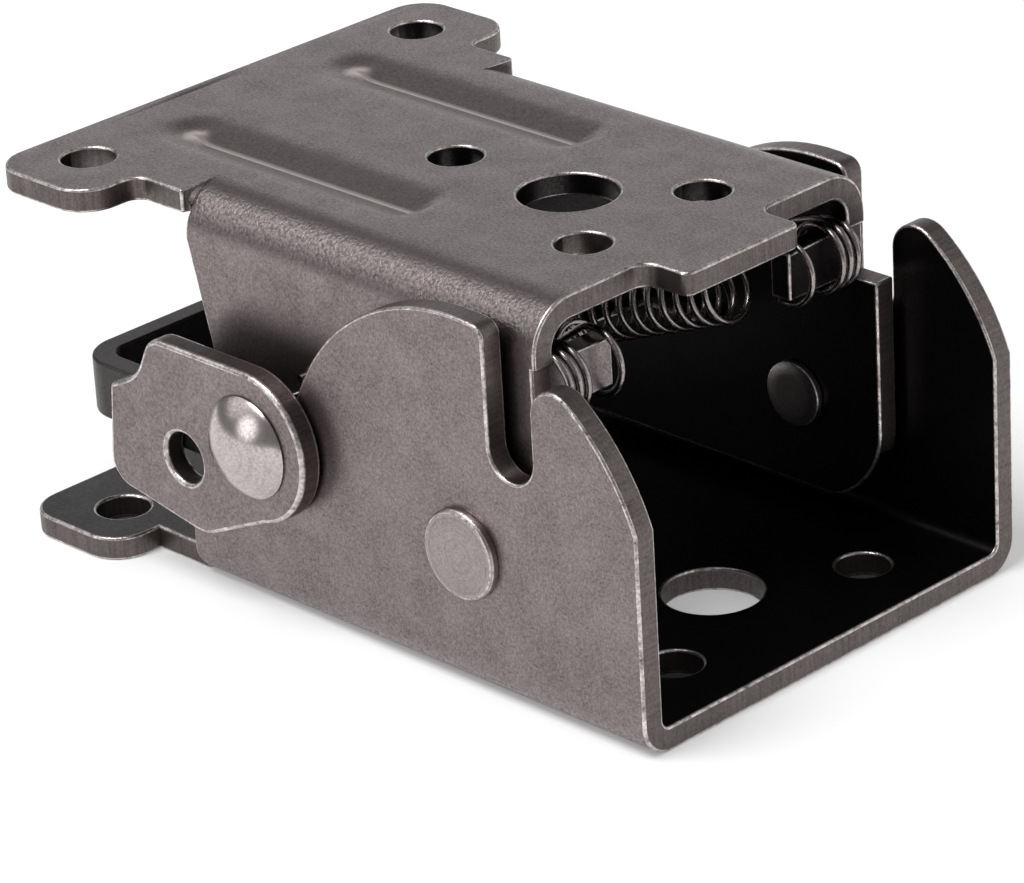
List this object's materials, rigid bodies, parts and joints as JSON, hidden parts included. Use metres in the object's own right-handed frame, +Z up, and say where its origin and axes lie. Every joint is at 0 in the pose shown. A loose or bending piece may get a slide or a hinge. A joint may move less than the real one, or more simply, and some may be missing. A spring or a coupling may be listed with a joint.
{
  "type": "folding table hinge",
  "caption": "Self-locking folding table leg hinge of pressed steel: two nested brackets on a riveted pivot, with a sprung cross pin and a release handle.",
  "frame": {"origin": "centre of the large hole in the base plate, at its underside", "axes": "+X towards the open front, +Y to the far side along the pivot, +Z up from the base plate"},
  "size_m": [0.0843, 0.063, 0.04],
  "materials": {
    "bracket_steel": "bare pressed steel, fine matt grain, warm grey, bright worn edges",
    "rivet_steel": "bare steel rivet, flat headed, satin",
    "pin_steel": "bright steel, domed heads polished by use",
    "handle_steel": "dark steel strip, satin",
    "spring_wire": "drawn spring wire, bright"
  },
  "bodies": {
    "base": {"lower_bracket": "bracket_steel", "pivot_rivet_near": "rivet_steel", "pivot_rivet_far": "rivet_steel", "pivot_washer_near": "rivet_steel", "pivot_washer_far": "rivet_steel"},
    "upper": {"upper_bracket": "bracket_steel", "tab_spring_near": "spring_wire", "tab_spring_far": "spring_wire", "return_spring_near": "spring_wire", "return_spring_far": "spring_wire"},
    "lever": {"lock_pin": "pin_steel", "lever_plate_near": "bracket_steel", "lever_plate_far": "bracket_steel", "release_handle": "handle_steel"}
  },
  "joints": [
    {"name": "fold", "type": "hinge", "parent": "base", "child": "upper", "pos_m": [-0.0067, 0, 0.0146], "axis": [0, 1, 0], "range_deg": [0, 90]},
    {"name": "release", "type": "slide", "parent": "upper", "child": "lever", "axis": [-0.8824, 0, -0.4706], "range_m": [0, 0.003], "stiffness_N_per_m": 600, "springref_m": -0.012, "deforming": ["return_spring_near", "return_spring_far"]}
  ]
}
